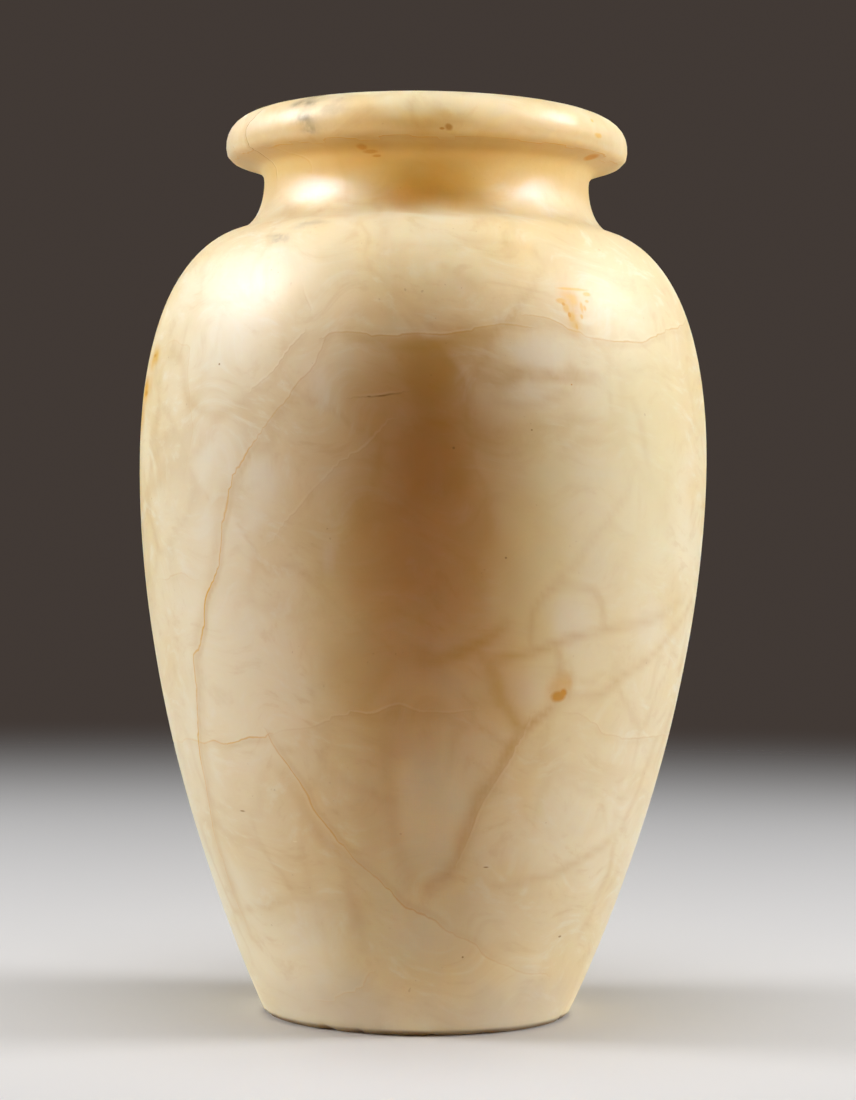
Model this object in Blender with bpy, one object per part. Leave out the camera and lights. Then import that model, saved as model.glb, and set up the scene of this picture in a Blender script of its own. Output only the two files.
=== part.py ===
"""Alabaster vase: a broad-shouldered jar turned from one block and hollowed to an even wall.

The vase stands on the plane z = 0 with its axis on +Z. Lengths are in metres.
One profile, half of a cut through the axis, is turned once round the axis.
"""

import math

import bpy
import numpy as np

# Heights, stacked upward from the surface that the vase stands on
BODY_RISE = 0.1530       # foot to the widest part of the belly
SHOULDER_RISE = 0.0633   # widest part to the root of the neck
NECK_RISE = 0.0142       # root of the neck to its narrowest part
FLARE_RISE = 0.0067      # narrowest part to the crease under the lip
LIP_EDGE_RISE = 0.0034   # crease to the lip's outermost line
LIP_CROWN_RISE = 0.0094  # outermost line to the top of the lip

# Radii and overhangs of the outside
FOOT_RADIUS = 0.0423
FOOT_EDGE_ROUND = 0.0009
BELLY_RADIUS = 0.0790
NECK_RADIUS = 0.0454
NECK_ROOT_SPREAD = 0.0082    # how far the root of the neck stands out from the neck
CREASE_OVERHANG = 0.0092     # how far the crease stands out from the neck
LIP_OVERHANG = 0.0107        # how far the lip stands out from the neck
CROWN_INSET = 0.0048         # how far the lip's highest line lies inside the neck's radius

# The hollow
BODY_WALL = 0.0090           # measured square to the surface
NECK_WALL = 0.0120
FLOOR_THICKNESS = 0.0160
FLOOR_CORNER_ROUND = 0.0180  # height of the rounding between floor and wall
FLOOR_CORNER_REACH = 0.0220  # how far that rounding reaches in over the floor
MOUTH_EDGE_DEPTH = 0.0070    # how far down the mouth the rounded edge runs
NECK_BORE_ROUND = 0.0100     # rounding where the straight bore opens into the hollow

# Directions of the profile, from the horizontal
FOOT_ANGLE = math.radians(66)
SHOULDER_ANGLE = math.radians(12)
NECK_ROOT_ANGLE = math.radians(16)
FLARE_ANGLE = math.radians(18)

# How far each curve follows its end direction, as a share of its own rise or run
BODY_FULLNESS = 0.50
FOOT_FULLNESS = 0.03
SHOULDER_FULLNESS = 0.92
SHOULDER_END_FULLNESS = 0.04
NECK_FULLNESS = 0.24
NECK_ROOT_FULLNESS = 0.90
FLARE_RISE_FULLNESS = 0.50
FLARE_END_FULLNESS = 1.00
ROUND_FULLNESS = 0.60
LIP_FULLNESS = 0.66

# Facets
TURN_STEPS = 64

STONE_COLOR = (0.80, 0.66, 0.45, 1.0)
STONE_ROUGHNESS = 0.38


def clear_scene():
    for existing in list(bpy.data.objects):
        bpy.data.objects.remove(existing, do_unlink=True)


def point(radius, height):
    return np.array([radius, height], dtype=float)


def direction(angle):
    return point(math.cos(angle), math.sin(angle))


def curve(start, start_handle, end_handle, end, steps):
    """Points along a smooth arc from start to end that leaves and arrives along its handles."""
    share = np.linspace(0.0, 1.0, steps + 1)[:, None]
    rest = 1.0 - share
    return (
        rest**3 * start
        + 3 * rest**2 * share * (start + start_handle)
        + 3 * rest * share**2 * (end + end_handle)
        + share**3 * end
    )


def quarter_round(start, end, fullness, steps, upright_start):
    """A quarter of an oval between two points, upright at one end and level at the other."""
    across = point(end[0] - start[0], 0.0) * fullness
    upward = point(0.0, end[1] - start[1]) * fullness
    if upright_start:
        return curve(start, upward, -across, end, steps)
    return curve(start, across, -upward, end, steps)


def joined(*curves):
    """One run of points from curves that meet end to end."""
    return np.concatenate([curves[0]] + [piece[1:] for piece in curves[1:]])


def inward_offset(points, distance):
    """The same run of points, moved square to itself towards the axis."""
    along = np.gradient(points, axis=0)
    along /= np.linalg.norm(along, axis=1)[:, None]
    inward = np.column_stack([-along[:, 1], along[:, 0]])
    return points + inward * distance


def body_outline():
    """The outside from the foot to the root of the neck, upward."""
    foot = point(FOOT_RADIUS, 0.0)
    belly = point(BELLY_RADIUS, BODY_RISE)
    neck_root = point(NECK_RADIUS + NECK_ROOT_SPREAD, BODY_RISE + SHOULDER_RISE)
    foot_edge = curve(
        foot - point(FOOT_EDGE_ROUND, 0.0),
        point(FOOT_EDGE_ROUND, 0.0) * ROUND_FULLNESS,
        -direction(FOOT_ANGLE) * FOOT_EDGE_ROUND * ROUND_FULLNESS,
        foot + direction(FOOT_ANGLE) * FOOT_EDGE_ROUND,
        2,
    )
    body = curve(
        foot_edge[-1],
        direction(FOOT_ANGLE) * BODY_RISE * FOOT_FULLNESS,
        point(0.0, -BODY_RISE * BODY_FULLNESS),
        belly,
        11,
    )
    shoulder = curve(
        belly,
        point(0.0, SHOULDER_RISE * SHOULDER_FULLNESS),
        point(math.cos(SHOULDER_ANGLE), -math.sin(SHOULDER_ANGLE))
        * (BELLY_RADIUS - neck_root[0])
        * SHOULDER_END_FULLNESS,
        neck_root,
        10,
    )
    return foot_edge, body, shoulder


def neck_outline(neck_root):
    """The outside of the neck, from its root up to the crease under the lip."""
    waist = point(NECK_RADIUS, neck_root[1] + NECK_RISE)
    crease = point(NECK_RADIUS + CREASE_OVERHANG, waist[1] + FLARE_RISE)
    root = curve(
        neck_root,
        point(-math.cos(NECK_ROOT_ANGLE), math.sin(NECK_ROOT_ANGLE))
        * NECK_ROOT_SPREAD
        * NECK_ROOT_FULLNESS,
        point(0.0, -NECK_RISE * NECK_FULLNESS),
        waist,
        6,
    )
    flare = curve(
        waist,
        point(0.0, FLARE_RISE * FLARE_RISE_FULLNESS),
        -direction(FLARE_ANGLE) * CREASE_OVERHANG * FLARE_END_FULLNESS,
        crease,
        5,
    )
    return joined(root, flare)


def lip_outline(crease, bore_radius):
    """The lip from the crease, over its crown, to the straight wall of the mouth."""
    edge = point(NECK_RADIUS + LIP_OVERHANG, crease[1] + LIP_EDGE_RISE)
    crown = point(NECK_RADIUS - CROWN_INSET, edge[1] + LIP_CROWN_RISE)
    bore_top = point(bore_radius, crown[1] - MOUTH_EDGE_DEPTH)
    under = quarter_round(crease, edge, LIP_FULLNESS, 3, upright_start=False)
    over = quarter_round(edge, crown, LIP_FULLNESS, 7, upright_start=True)
    mouth = quarter_round(crown, bore_top, ROUND_FULLNESS, 4, upright_start=False)
    return joined(under, over, mouth)


def hollow_outline(body, shoulder, bore_radius):
    """The inside from the root of the bore down to the middle of the floor."""
    side = inward_offset(joined(body, shoulder), BODY_WALL)
    corner_top = FLOOR_THICKNESS + FLOOR_CORNER_ROUND
    inside = (side[:, 1] > corner_top) & (side[:, 0] > bore_radius + NECK_BORE_ROUND)
    side = side[inside]
    low, ceiling = side[0], side[-1]
    bore_foot = point(bore_radius, ceiling[1] + NECK_BORE_ROUND)
    throat = curve(
        bore_foot,
        point(0.0, -NECK_BORE_ROUND * ROUND_FULLNESS),
        point(-math.cos(SHOULDER_ANGLE), math.sin(SHOULDER_ANGLE)) * NECK_BORE_ROUND,
        ceiling,
        4,
    )
    floor_edge = point(max(low[0] - FLOOR_CORNER_REACH, low[0] / 2), FLOOR_THICKNESS)
    corner = curve(
        low,
        -direction(FOOT_ANGLE) * FLOOR_CORNER_ROUND * ROUND_FULLNESS,
        point(FLOOR_CORNER_REACH * ROUND_FULLNESS, 0.0),
        floor_edge,
        5,
    )
    centre = point(0.0, FLOOR_THICKNESS)
    return joined(throat, side[::-1], corner, [floor_edge, centre])


def vase_profile():
    """Half of the cut through the axis: up the hollow, over the lip, and down the outside."""
    bore_radius = NECK_RADIUS - NECK_WALL
    foot_edge, body, shoulder = body_outline()
    neck = neck_outline(shoulder[-1])
    lip = lip_outline(neck[-1], bore_radius)
    hollow = hollow_outline(body, shoulder, bore_radius)
    outside = joined(foot_edge, body, shoulder, neck, lip)
    underside = np.array([point(0.0, 0.0)])
    return np.concatenate([hollow[::-1], outside[::-1], underside])


def stone_material():
    material = bpy.data.materials.new("alabaster")
    material.use_nodes = True
    surface = material.node_tree.nodes["Principled BSDF"]
    surface.inputs["Base Color"].default_value = STONE_COLOR
    surface.inputs["Roughness"].default_value = STONE_ROUGHNESS
    surface.inputs["Metallic"].default_value = 0.0
    material.diffuse_color = STONE_COLOR
    return material


def turned_vase():
    profile = vase_profile()
    mesh = bpy.data.meshes.new("vase")
    corners = [(radius, 0.0, height) for radius, height in profile]
    edges = [(index, index + 1) for index in range(len(corners) - 1)]
    mesh.from_pydata(corners, edges, [])
    vase = bpy.data.objects.new("vase", mesh)
    bpy.context.scene.collection.objects.link(vase)

    turning = vase.modifiers.new("turning", "SCREW")
    turning.axis = "Z"
    turning.angle = math.tau
    turning.steps = TURN_STEPS
    turning.render_steps = TURN_STEPS
    turning.use_merge_vertices = True
    turning.merge_threshold = 0.00001
    turning.use_smooth_shade = True
    mesh.materials.append(stone_material())
    return vase


clear_scene()
turned_vase()
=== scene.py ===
import math

import bpy
import numpy as np
from mathutils import Euler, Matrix, Vector, kdtree, noise


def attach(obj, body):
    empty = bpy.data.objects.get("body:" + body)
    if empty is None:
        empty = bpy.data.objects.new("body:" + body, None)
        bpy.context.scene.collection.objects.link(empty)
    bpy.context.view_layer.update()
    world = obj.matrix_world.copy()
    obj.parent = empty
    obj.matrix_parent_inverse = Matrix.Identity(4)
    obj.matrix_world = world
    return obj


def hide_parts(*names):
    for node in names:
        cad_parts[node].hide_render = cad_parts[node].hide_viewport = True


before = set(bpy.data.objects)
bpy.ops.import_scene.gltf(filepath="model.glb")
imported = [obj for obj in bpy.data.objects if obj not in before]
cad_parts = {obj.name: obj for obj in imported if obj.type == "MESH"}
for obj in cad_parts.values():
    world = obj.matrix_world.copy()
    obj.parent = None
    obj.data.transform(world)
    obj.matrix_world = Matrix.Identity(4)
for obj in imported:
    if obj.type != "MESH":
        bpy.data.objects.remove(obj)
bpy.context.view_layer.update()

scene = bpy.context.scene
mm = 0.001


# Camera and picture

shot = {
    "distance": 769 * mm,      # from the vase's axis
    "height": 123.4 * mm,      # above the surface that the vase stands on
    "offsetRight": 1.7 * mm,
    "tiltUp": 0.40,            # degrees
    "rollLeft": 0.71,          # degrees, the camera leaned a little to its left
    "lens": 89.8,              # mm
    "sensor": 36.0,            # mm across
}


def makeCamera():
    data = bpy.data.cameras.new("camera")
    data.lens = shot["lens"]
    data.sensor_width = shot["sensor"]
    data.clip_start = 0.02
    data.clip_end = 20.0
    data.dof.use_dof = False
    camera = bpy.data.objects.new("camera", data)
    scene.collection.objects.link(camera)
    camera.location = (shot["offsetRight"], -shot["distance"], shot["height"])
    aim = Euler((math.radians(90 + shot["tiltUp"]), 0, 0)).to_matrix()
    roll = Euler((0, 0, math.radians(shot["rollLeft"]))).to_matrix()
    camera.rotation_euler = (aim @ roll).to_euler()
    scene.camera = camera
    scene.view_settings.view_transform = "Standard"
    scene.view_settings.look = "None"
    print("camera ready")


# The turned form

form = {
    "footRadius": 42.3 * mm, "footRound": 0.9 * mm,
    "bellyRadius": 79.0 * mm, "bellyHeight": 153.0 * mm,
    "rootRadius": 53.6 * mm, "rootHeight": 216.3 * mm,       # where the shoulder meets the neck
    "neckRadius": 45.4 * mm, "neckHeight": 230.5 * mm,
    "creaseRadius": 54.6 * mm, "creaseHeight": 237.2 * mm,
    "lipRadius": 56.1 * mm, "lipHeight": 240.6 * mm,
    "crownRadius": 40.6 * mm, "height": 250.0 * mm,
    "boreRadius": 33.4 * mm, "boreTop": 243.0 * mm, "boreFoot": 217.6 * mm,
    "ceilingRadius": 51.3 * mm, "ceilingHeight": 207.6 * mm,
    "wall": 9.0 * mm, "floor": 16.0 * mm,
    "cornerRadius": 47.9 * mm, "cornerHeight": 38.4 * mm, "floorRadius": 26.0 * mm,
    "outsideRings": 190, "insideRings": 66, "segments": 360,
    "insideLength": 0.475,                                   # the hollow's share of the profile's length
    "handFinish": 0.16 * mm, "waveScale": 17.0,              # scales are repeats in a metre
    "trueFoot": 8 * mm,                                      # the unevenness fades out below this height
    "chipDepth": 0.9 * mm, "chipScale": 190.0,
    "chipNoise": (0.57, 0.68),                               # no chip below the first, full above the second
    "chipHeights": (2.6 * mm, 0.2 * mm),                     # no chip above the first, full below the second
    "chipReach": 1.6 * mm,                                   # in from the foot's edge
}


def makeProfile():
    # Half of the cut through the axis, in the plane y = 0, from the floor's middle round to the underside
    f = form
    stops = [
        # radius, height, handle in, handle out
        (0, f["floor"], (0, 0), (8 * mm, 0)),
        (f["floorRadius"], f["floor"], (-8 * mm, 0), (13 * mm, 0)),
        (f["cornerRadius"], f["cornerHeight"], (-4.5 * mm, -10 * mm), (4.4 * mm, 10 * mm)),
        (f["bellyRadius"] - f["wall"], f["bellyHeight"], (0, -64 * mm), (0, 50 * mm)),
        (f["ceilingRadius"], f["ceilingHeight"], (3 * mm, 0), (-7 * mm, 1.5 * mm)),
        (f["boreRadius"], f["boreFoot"], (0, -6 * mm), (0, 8 * mm)),
        (f["boreRadius"], f["boreTop"], (0, -8 * mm), (0, 4.2 * mm)),
        (f["crownRadius"], f["height"], (-4.3 * mm, 0), (10.2 * mm, 0)),
        (f["lipRadius"], f["lipHeight"], (0, 6.2 * mm), (0, -2 * mm)),
        (f["creaseRadius"], f["creaseHeight"], (0.9 * mm, 0.2 * mm), (-8.7 * mm, -2.8 * mm)),
        (f["neckRadius"], f["neckHeight"], (0, 3.4 * mm), (0, -3.4 * mm)),
        (f["rootRadius"], f["rootHeight"], (-7.1 * mm, 2.0 * mm), (1.0 * mm, -0.2 * mm)),
        (f["bellyRadius"], f["bellyHeight"], (0, 58 * mm), (0, -76.5 * mm)),
        (f["footRadius"] + 0.4 * mm, f["footRound"], (2.2 * mm, 4.9 * mm), (-0.2 * mm, -0.5 * mm)),
        (f["footRadius"] - f["footRound"], 0, (0.5 * mm, 0), (-8 * mm, 0)),
        (0, 0, (8 * mm, 0), (0, 0)),
    ]
    curve = bpy.data.curves.new("profile", "CURVE")
    curve.dimensions = "3D"
    curve.resolution_u = 48
    spline = curve.splines.new("BEZIER")
    spline.bezier_points.add(len(stops) - 1)
    for stop, (radius, height, handleIn, handleOut) in zip(spline.bezier_points, stops):
        stop.handle_left_type = stop.handle_right_type = "FREE"
        stop.co = (radius, 0, height)
        stop.handle_left = (radius + handleIn[0], 0, height + handleIn[1])
        stop.handle_right = (radius + handleOut[0], 0, height + handleOut[1])
    profile = bpy.data.objects.new("profile", curve)
    scene.collection.objects.link(profile)
    return profile


def socketFor(tree, name):
    return next(item.identifier for item in tree.interface.items_tree if item.name == name)


def makeTurningTree():
    # A flat grid is wrapped round the axis: its rows follow the profile and its columns go once round
    tree = bpy.data.node_groups.new("turnedStone", "GeometryNodeTree")
    tree.interface.new_socket("Geometry", in_out="OUTPUT", socket_type="NodeSocketGeometry")
    asking = {"Profile": "Object", "Rings": "Int", "Segments": "Int", "Inside Share": "Float",
              "Inside Length": "Float", "Hand Finish": "Float", "Chip Depth": "Float", "Stone": "Material"}
    for name, kind in asking.items():
        tree.interface.new_socket(name, in_out="INPUT", socket_type="NodeSocket" + kind)
    nodes, links = tree.nodes, tree.links

    def add(kind, **settings):
        node = nodes.new(kind)
        for key, value in settings.items():
            setattr(node, key, value)
        return node

    def math2(operation, first, second):
        node = add("ShaderNodeMath", operation=operation)
        for socket, value in zip(node.inputs, (first, second)):
            if isinstance(value, bpy.types.NodeSocket):
                links.new(value, socket)
            else:
                socket.default_value = value
        return node.outputs[0]

    def cloudy(scale, detail):
        node = add("ShaderNodeTexNoise")
        node.inputs["Scale"].default_value, node.inputs["Detail"].default_value = scale, detail
        return node.outputs[0]

    def ramp(value, low, high, kind="LINEAR"):
        node = add("ShaderNodeMapRange", interpolation_type=kind)
        node.inputs["From Min"].default_value, node.inputs["From Max"].default_value = low, high
        links.new(value, node.inputs["Value"])
        return node.outputs["Result"]

    asked = add("NodeGroupInput").outputs
    grid = add("GeometryNodeMeshGrid")
    grid.inputs["Size X"].default_value = grid.inputs["Size Y"].default_value = 1.0
    links.new(asked["Rings"], grid.inputs["Vertices X"])
    links.new(math2("ADD", asked["Segments"], 1), grid.inputs["Vertices Y"])
    place = add("ShaderNodeSeparateXYZ")
    links.new(add("GeometryNodeInputPosition").outputs[0], place.inputs[0])
    row = math2("ADD", place.outputs["X"], 0.5)
    turn = math2("MULTIPLY", math2("ADD", place.outputs["Y"], 0.5), math.tau)

    # The hollow gets fewer rows than the outside
    inner = math2("MULTIPLY", math2("DIVIDE", row, asked["Inside Share"]), asked["Inside Length"])
    outerRow = math2("DIVIDE", math2("SUBTRACT", row, asked["Inside Share"]),
                     math2("SUBTRACT", 1.0, asked["Inside Share"]))
    outer = math2("ADD", asked["Inside Length"],
                  math2("MULTIPLY", outerRow, math2("SUBTRACT", 1.0, asked["Inside Length"])))
    along = add("GeometryNodeSwitch", input_type="FLOAT")
    links.new(math2("GREATER_THAN", row, asked["Inside Share"]), along.inputs["Switch"])
    links.new(inner, along.inputs["False"])
    links.new(outer, along.inputs["True"])

    hollow = add("GeometryNodeStoreNamedAttribute", data_type="FLOAT", domain="POINT")
    hollow.inputs["Name"].default_value = "inside"
    links.new(grid.outputs["Mesh"], hollow.inputs["Geometry"])
    links.new(math2("LESS_THAN", row, asked["Inside Share"]), hollow.inputs["Value"])

    info = add("GeometryNodeObjectInfo")
    links.new(asked["Profile"], info.inputs[0])
    sample = add("GeometryNodeSampleCurve", mode="FACTOR")
    links.new(info.outputs["Geometry"], sample.inputs["Curves"])
    links.new(along.outputs[0], sample.inputs["Factor"])
    cut = add("ShaderNodeSeparateXYZ")
    links.new(sample.outputs["Position"], cut.inputs[0])
    wrapped = add("ShaderNodeCombineXYZ")
    links.new(math2("MULTIPLY", cut.outputs["X"], math2("SINE", turn, 0)), wrapped.inputs["X"])
    links.new(math2("MULTIPLY", math2("MULTIPLY", cut.outputs["X"], -1.0), math2("COSINE", turn, 0)),
              wrapped.inputs["Y"])
    links.new(cut.outputs["Z"], wrapped.inputs["Z"])
    turned = add("GeometryNodeSetPosition")
    links.new(hollow.outputs[0], turned.inputs["Geometry"])
    links.new(wrapped.outputs[0], turned.inputs["Position"])
    closed = add("GeometryNodeMergeByDistance")
    closed.inputs["Distance"].default_value = 0.01 * mm
    links.new(turned.outputs[0], closed.inputs["Geometry"])

    # A hand-finished wall is never quite true, and the foot's edge has lost a few small chips
    place = add("ShaderNodeSeparateXYZ")
    links.new(add("GeometryNodeInputPosition").outputs[0], place.inputs[0])
    faceOut = add("GeometryNodeInputNormal")
    clearOfFoot = ramp(place.outputs["Z"], 0.0, form["trueFoot"], "SMOOTHSTEP")
    swell = math2("MULTIPLY", math2("SUBTRACT", cloudy(form["waveScale"], 1.5), 0.5),
                  math2("MULTIPLY", asked["Hand Finish"], 3.0))
    swell = math2("MULTIPLY", swell, clearOfFoot)
    chipped = ramp(cloudy(form["chipScale"], 2.0), *form["chipNoise"])
    atFoot = ramp(place.outputs["Z"], *form["chipHeights"])
    squares = math2("ADD", math2("POWER", place.outputs["X"], 2.0), math2("POWER", place.outputs["Y"], 2.0))
    farOut = math2("GREATER_THAN", math2("SQRT", squares, 0), form["footRadius"] - form["chipReach"])
    deep = math2("MULTIPLY", farOut, asked["Chip Depth"])
    chip = math2("MULTIPLY", math2("MULTIPLY", chipped, atFoot), deep)
    moved = add("ShaderNodeVectorMath", operation="SCALE")
    links.new(faceOut.outputs[0], moved.inputs[0])
    links.new(math2("SUBTRACT", swell, chip), moved.inputs["Scale"])
    worked = add("GeometryNodeSetPosition")
    links.new(closed.outputs[0], worked.inputs["Geometry"])
    links.new(moved.outputs[0], worked.inputs["Offset"])

    smooth = add("GeometryNodeSetShadeSmooth")
    links.new(worked.outputs[0], smooth.inputs["Geometry"])
    realized = add("GeometryNodeRealizeInstances")
    links.new(smooth.outputs[0], realized.inputs[0])
    dressed = add("GeometryNodeSetMaterial")
    links.new(realized.outputs[0], dressed.inputs["Geometry"])
    links.new(asked["Stone"], dressed.inputs["Material"])
    links.new(dressed.outputs[0], add("NodeGroupOutput").inputs[0])
    return tree


def turnVase(stone):
    profile = makeProfile()
    tree = makeTurningTree()
    blank = bpy.data.objects.new("blank", bpy.data.meshes.new("blank"))
    scene.collection.objects.link(blank)
    lathe = blank.modifiers.new("lathe", "NODES")
    lathe.node_group = tree
    rings = form["outsideRings"] + form["insideRings"]
    for name, value in {
        "Profile": profile, "Rings": rings, "Segments": form["segments"],
        "Inside Share": form["insideRings"] / rings, "Inside Length": form["insideLength"],
        "Hand Finish": form["handFinish"], "Chip Depth": form["chipDepth"], "Stone": stone,
    }.items():
        lathe[socketFor(tree, name)] = value
    bpy.context.view_layer.update()
    depsgraph = bpy.context.evaluated_depsgraph_get()
    mesh = bpy.data.meshes.new_from_object(blank.evaluated_get(depsgraph))
    mesh.name = "alabasterVase"
    bpy.data.objects.remove(blank)
    bpy.data.objects.remove(profile)
    vase = bpy.data.objects.new("alabasterVase", mesh)
    scene.collection.objects.link(vase)
    print("vase turned:", len(mesh.vertices), "points,", len(mesh.polygons), "faces")
    return vase


# Veins, seams and stains, with patches of painted shade and painted light, painted point by point on the
# turned stone.
# A route is a list of stops: degrees to the right of the front, mm above the foot.
# Seen from outside, a vein has its pale thread on the left of its route and its shade on the right.

veins = {
    # tones along it (0 pale, 1 rust, 2 dark), strengths along it, route
    "longVein": ((0.8, 1.0, 1.0, 1.0, 1.0, 0.9, 0.6, 0.4), (0.3, 0.8, 1.0, 1.1, 1.2, 1.0, 0.8, 0.55, 0.45), [
        (-59, 25), (-62, 40), (-61.8, 50), (-60.5, 60), (-59, 73), (-57, 83), (-55.2, 92), (-54, 98.5),
        (-51.5, 102), (-49, 108), (-47, 116), (-43.5, 122), (-42, 131), (-40, 140), (-38, 146),
        (-34.5, 153.5), (-30.5, 160), (-27, 165), (-24, 171), (-21.5, 174), (-19, 182)]),
    "shoulderLine": ((0.5, 0.5, 0.6), (0.6, 0.8, 0.9, 0.9, 0.6), [
        (-19, 182), (-17, 183), (-11, 183), (-6, 182), (-1, 182.4), (3, 183), (10, 184.5), (13, 185.5),
        (20, 185)]),
    "shoulderBranch": ((0.6, 0.6, 0.6), (0.5, 0.7, 0.8, 0.6, 0.3), [
        (20, 188), (25, 187.5), (30, 185.5), (35, 184), (45, 183.5), (55, 186), (65, 189), (72, 191.5),
        (84, 193)]),
    "slantVein": ((0.6, 0.7, 0.75, 0.8), (0.4, 0.5, 0.6, 0.7, 0.8, 0.8, 0.8), [
        (45, 15), (32, 17), (22, 21), (16, 25), (10, 28), (5, 31.5), (0, 34.5), (-4, 36.5), (-8, 41),
        (-12, 46), (-15.5, 48.5), (-19, 52), (-22, 57), (-25.5, 62), (-28, 68.5), (-31, 74.5), (-34, 80)]),
    "redLevel": ((0.9, 0.9), (0.0, 0.2, 0.8, 0.8), [
        (-84, 79), (-74, 76), (-60, 77), (-50, 77), (-40, 78.5), (-34.5, 80)]),
    "yellowArc": ((0.3, 0.4), (0.2, 0.45, 0.55, 0.45, 0.25), [
        (-31, 80.5), (-22, 83), (-17, 85.5), (-10, 87), (-5, 88.5), (0, 86.3), (5, 87), (11, 88)]),
    "shortLevel": ((0.7, 0.7), (0.1, 0.35, 0.1), [(-67, 119.5), (-58, 121), (-49, 120.5)]),
    "lowMark": ((0.6, 0.6), (0.15, 0.35, 0.3), [(-35, 8), (-25, 10), (-18, 13), (-14.5, 17)]),
    "armThread": ((0.3, 0.4), (0.2, 0.5, 0.5, 0.6, 0.3), [
        (23.5, 85), (20.4, 76), (17, 69), (14.4, 63), (12.3, 56), (10, 48)]),
    "scratch": ((1.9, 1.9), (0.15, 0.5, 1.1, 0.8, 0.3), [
        (-12.6, 166.8), (-10.5, 167), (-8.3, 167.1), (-6.3, 167), (-4.6, 166.9)]),
    "paleSlant": ((0.0, 0.0), (0.2, 0.4, 0.4, 0.2), [
        (-30, 130), (-25, 136), (-20, 144), (-12, 153), (-6, 160)]),
    "paleThread": ((0.0, 0.0), (0.4, 0.7, 0.5), [(-34, 170), (-30, 173), (-27, 178), (-24, 183)]),
    "paleThreadUp": ((0.0, 0.0), (0.2, 0.4, 0.3), [(-26, 195), (-23, 190)]),
    "sideThread": ((0.7, 0.7), (0.1, 0.25, 0.25, 0.1), [
        (-70, 183), (-55, 182), (-53, 172), (-50, 160), (-52, 148)]),
    "thinRight": ((0.5, 0.5), (0.2, 0.4, 0.4, 0.2), [
        (33, 86), (37, 85.5), (45, 80), (55, 79), (70, 79.5), (80, 77)]),
    "rimVein": ((1.9, 1.8), (0.6, 1.2, 1.3, 1.0), [
        (-56, 248), (-57.5, 245), (-60.5, 242.6), (-61, 240), (-60.5, 238.2), (-62.2, 236.8),
        (-64.5, 234), (-64, 230)]),
    "rimVeinDown": ((1.6, 1.4), (0.3, 0.5, 0.2), [(-52, 236.5), (-47, 234), (-44, 231.5), (-43, 229)]),
    "creaseLine": ((1.3, 1.3), (0.5, 0.8, 0.9, 1.1, 0.7), [
        (-84, 236.8), (-40, 236.5), (0, 236.6), (40, 236.5), (85, 236.8)]),
}

bands = {
    # soft brown seams between the milky cells: half width in mm, strengths along it, route
    "besideLongVein": (2.2, (0.2, 0.35, 0.35, 0.3, 0.2), [
        (-41, 143), (-45, 120), (-52, 103), (-54, 88), (-58, 68), (-60, 45)]),
    "longVeinFoot": (4.0, (0.3, 0.5, 0.2), [(-61, 50), (-62, 38), (-59, 24)]),
    "underShoulder": (1.8, (0.4, 0.7, 0.6, 0.3), [(-14, 181.2), (-4, 180), (4, 181), (14, 183)]),
    "spotArm": (1.6, (0.7, 0.9, 1.0, 1.0), [(29.6, 92), (27.5, 88), (24, 84.5), (21, 82.5)]),
    "armLeft": (2.2, (0.5, 0.8, 0.9, 0.9), [(12.5, 101), (14.5, 97), (17, 90), (20, 84.5), (21.5, 82.5)]),
    "armDown": (2.1, (0.9, 0.9, 0.85, 0.8, 0.6), [
        (21, 82.5), (18.5, 75), (15.5, 67), (12.5, 61), (10.5, 53), (8, 46), (3, 41.5)]),
    "aboveSpot": (1.3, (0.9, 0.5), [(29.5, 97), (28.8, 103)]),
    "cellLeft": (2.2, (0.2, 0.35, 0.35, 0.2), [(-5, 88), (-7, 78), (-6.5, 65), (-5, 52), (-1, 43)]),
    "oliveTop": (1.9, (0.4, 0.8, 0.9, 0.5), [(0, 101.5), (4, 101), (12, 105), (16, 110.5)]),
    "roundCell": (1.2, (0.35, 0.45, 0.45, 0.4), [
        (22.5, 103), (22, 111), (23.5, 116.5), (28, 120), (35, 118.5), (38.5, 111), (38.3, 107)]),
    "slantUp": (1.2, (0.34, 0.25, 0.12), [(25, 118), (31, 126), (39, 138), (43, 146)]),
    "armRight": (1.5, (0.8, 0.7, 0.55, 0.45, 0.3), [
        (14, 100), (20, 101.5), (30, 105), (40, 108), (52, 110.5), (60, 113), (68, 117)]),
    "armRightLow": (1.4, (0.4, 0.55, 0.55, 0.45), [
        (31, 91), (40, 92), (48, 97), (56, 101), (66, 109), (74, 116)]),
    "lowRightSeam": (1.5, (0.25, 0.35, 0.4, 0.5, 0.45, 0.3), [
        (72, 82), (66, 75), (64, 65), (58, 53), (46, 47), (35, 43), (27, 41.5), (20, 41)]),
    "lowRightSeamDown": (1.6, (0.4, 0.4, 0.2), [(58, 53), (60, 40), (55, 26)]),
    "besideSlant": (2.4, (0.2, 0.5, 0.6, 0.3), [(-31, 70), (-26, 59), (-22, 52), (-15, 45)]),
    "rightCellTop": (1.6, (0.3, 0.4, 0.35), [(11, 180), (14, 185), (22, 186.5), (33, 184)]),
    "rightCellFoot": (1.4, (0.3, 0.55, 0.6, 0.25), [
        (12, 176), (15, 174), (20, 172.5), (27, 172.6), (33, 173.5)]),
    "rightCellLow": (1.3, (0.3, 0.45, 0.3), [(13, 167), (20, 165.5), (27, 169)]),
    "ghostRight": (1.5, (0.2, 0.3, 0.1), [(44, 168), (47, 158), (49, 148)]),
    "ghostLeft": (1.6, (0.3, 0.4, 0.2), [(-66, 181), (-56, 178), (-52, 168), (-44, 163), (-36, 166)]),
    "verticalLow": (2.2, (0.2, 0.5, 0.3), [(-18, 48), (-17, 36), (-15, 24)]),
    "neckSmear": (1.5, (0.3, 0.3), [(10, 196), (4, 200)]),
}

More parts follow.
